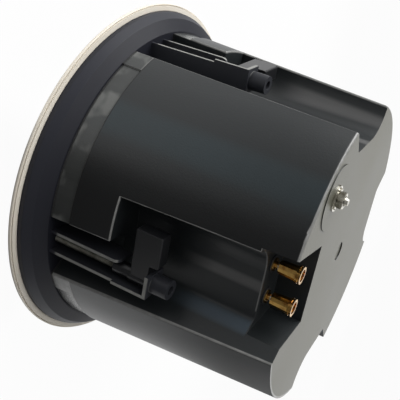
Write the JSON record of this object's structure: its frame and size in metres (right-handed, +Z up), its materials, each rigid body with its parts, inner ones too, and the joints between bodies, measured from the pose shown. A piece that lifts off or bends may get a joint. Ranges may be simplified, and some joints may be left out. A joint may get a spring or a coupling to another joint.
{
  "type": "in ceiling speaker",
  "caption": "Closed-back round in-ceiling loudspeaker with a narrow flange, swing-out clamps in side channels, push terminals and a rear safety anchor.",
  "frame": {"origin": "centre of the ceiling-contact plane, where the trim ring's rear face meets the ceiling", "axes": "+Z up into the ceiling void along the speaker's axis; -Y runs towards the safety anchor"},
  "size_m": [0.242, 0.242, 0.1677],
  "materials": {
    "cream_paint": "satin powder coat",
    "cream_plastic": "fine moulded satin",
    "black_plastic": "satin moulded",
    "foam": "closed cell",
    "zinc_steel": "zinc plated",
    "black_steel": "blackened",
    "gilt_brass": "gilt plated",
    "spring_steel": "bright drawn",
    "nickel": "nickel plated",
    "black_rubber": "matte",
    "cone_poly": "woven look moulding",
    "spider_cloth": "resin dipped",
    "coil_former": "thin wall",
    "ferrite": "sintered",
    "basket_metal": "black enamel",
    "silk": "coated",
    "circuit_board": "laminate",
    "copper_wire": "enamelled",
    "film_case": "sleeved",
    "white_ceramic": "unglazed",
    "wadding": "polyester fibre"
  },
  "bodies": {
    "speaker": {"grille": "cream_paint", "trim_ring": "cream_plastic", "grille_magnets": "nickel", "chassis": "black_plastic", "back_box": "black_plastic", "back_box_gasket": "foam", "back_box_screws": "black_steel", "terminal_bushes": "black_plastic", "terminal_nuts": "nickel", "solder_tags": "nickel", "anchor_bolt": "zinc_steel", "anchor_nut": "zinc_steel", "anchor_washer": "zinc_steel", "anchor_lock_washer": "zinc_steel", "woofer_basket": "basket_metal", "woofer_gasket": "foam", "woofer_screws": "black_steel", "woofer_surround": "black_rubber", "spider": "spider_cloth", "top_plate": "zinc_steel", "woofer_magnet": "ferrite", "yoke": "zinc_steel", "tweeter_bridge": "black_plastic", "bridge_screws": "black_steel", "tweeter_housing": "black_plastic", "tweeter_magnet": "nickel", "tweeter_dome": "silk", "tweeter_faceplate": "black_plastic", "crossover_board": "circuit_board", "board_screws": "zinc_steel", "inductors": "copper_wire", "capacitors": "film_case", "resistor": "white_ceramic", "acoustic_wadding": "wadding", "terminal_post_1": "gilt_brass", "terminal_spring_1": "spring_steel", "terminal_post_2": "gilt_brass", "terminal_spring_2": "spring_steel"},
    "woofer_diaphragm": {"woofer_cone": "cone_poly", "dust_cap": "black_rubber", "voice_coil": "coil_former"},
    "clamp_screw_1": {"clamp_screw_1": "zinc_steel"},
    "dog_leg_1": {"dog_leg_1": "black_plastic"},
    "clamp_screw_2": {"clamp_screw_2": "zinc_steel"},
    "dog_leg_2": {"dog_leg_2": "black_plastic"},
    "clamp_screw_3": {"clamp_screw_3": "zinc_steel"},
    "dog_leg_3": {"dog_leg_3": "black_plastic"},
    "clamp_screw_4": {"clamp_screw_4": "zinc_steel"},
    "dog_leg_4": {"dog_leg_4": "black_plastic"},
    "terminal_cap_1": {"terminal_cap_1": "gilt_brass"},
    "terminal_cap_2": {"terminal_cap_2": "gilt_brass"}
  },
  "joints": [
    {"name": "clamp_swing_1", "type": "hinge", "parent": "speaker", "child": "clamp_screw_1", "pos_m": [-0.05633, -0.07873, 0.07], "axis": [0, 0, 1], "range_deg": [0, 90]},
    {"name": "clamp_draw_1", "type": "slide", "parent": "clamp_screw_1", "child": "dog_leg_1", "axis": [0, 0, -1], "range_m": [0, 0.006]},
    {"name": "clamp_swing_2", "type": "hinge", "parent": "speaker", "child": "clamp_screw_2", "pos_m": [0.07461, -0.06168, 0.07], "axis": [0, 0, 1], "range_deg": [0, 90]},
    {"name": "clamp_draw_2", "type": "slide", "parent": "clamp_screw_2", "child": "dog_leg_2", "axis": [0, 0, -1], "range_m": [0, 0.006]},
    {"name": "clamp_swing_3", "type": "hinge", "parent": "speaker", "child": "clamp_screw_3", "pos_m": [0.05633, 0.07873, 0.07], "axis": [0, 0, 1], "range_deg": [0, 90]},
    {"name": "clamp_draw_3", "type": "slide", "parent": "clamp_screw_3", "child": "dog_leg_3", "axis": [0, 0, -1], "range_m": [0, 0.006]},
    {"name": "clamp_swing_4", "type": "hinge", "parent": "speaker", "child": "clamp_screw_4", "pos_m": [-0.07461, 0.06168, 0.07], "axis": [0, 0, 1], "range_deg": [0, 90]},
    {"name": "clamp_draw_4", "type": "slide", "parent": "clamp_screw_4", "child": "dog_leg_4", "axis": [0, 0, -1], "range_m": [0, 0.006]},
    {"name": "terminal_push_1", "type": "slide", "parent": "speaker", "child": "terminal_cap_1", "axis": [0, 0, -1], "range_m": [0, 0.0023], "stiffness_N_per_m": 1500, "deforming": ["terminal_spring_1"]},
    {"name": "terminal_push_2", "type": "slide", "parent": "speaker", "child": "terminal_cap_2", "axis": [0, 0, -1], "range_m": [0, 0.0023], "stiffness_N_per_m": 1500, "deforming": ["terminal_spring_2"]},
    {"name": "woofer_stroke", "type": "slide", "parent": "speaker", "child": "woofer_diaphragm", "axis": [0, 0, -1], "range_m": [-0.005, 0.005], "stiffness_N_per_m": 1200, "deforming": ["woofer_surround", "spider"]}
  ]
}
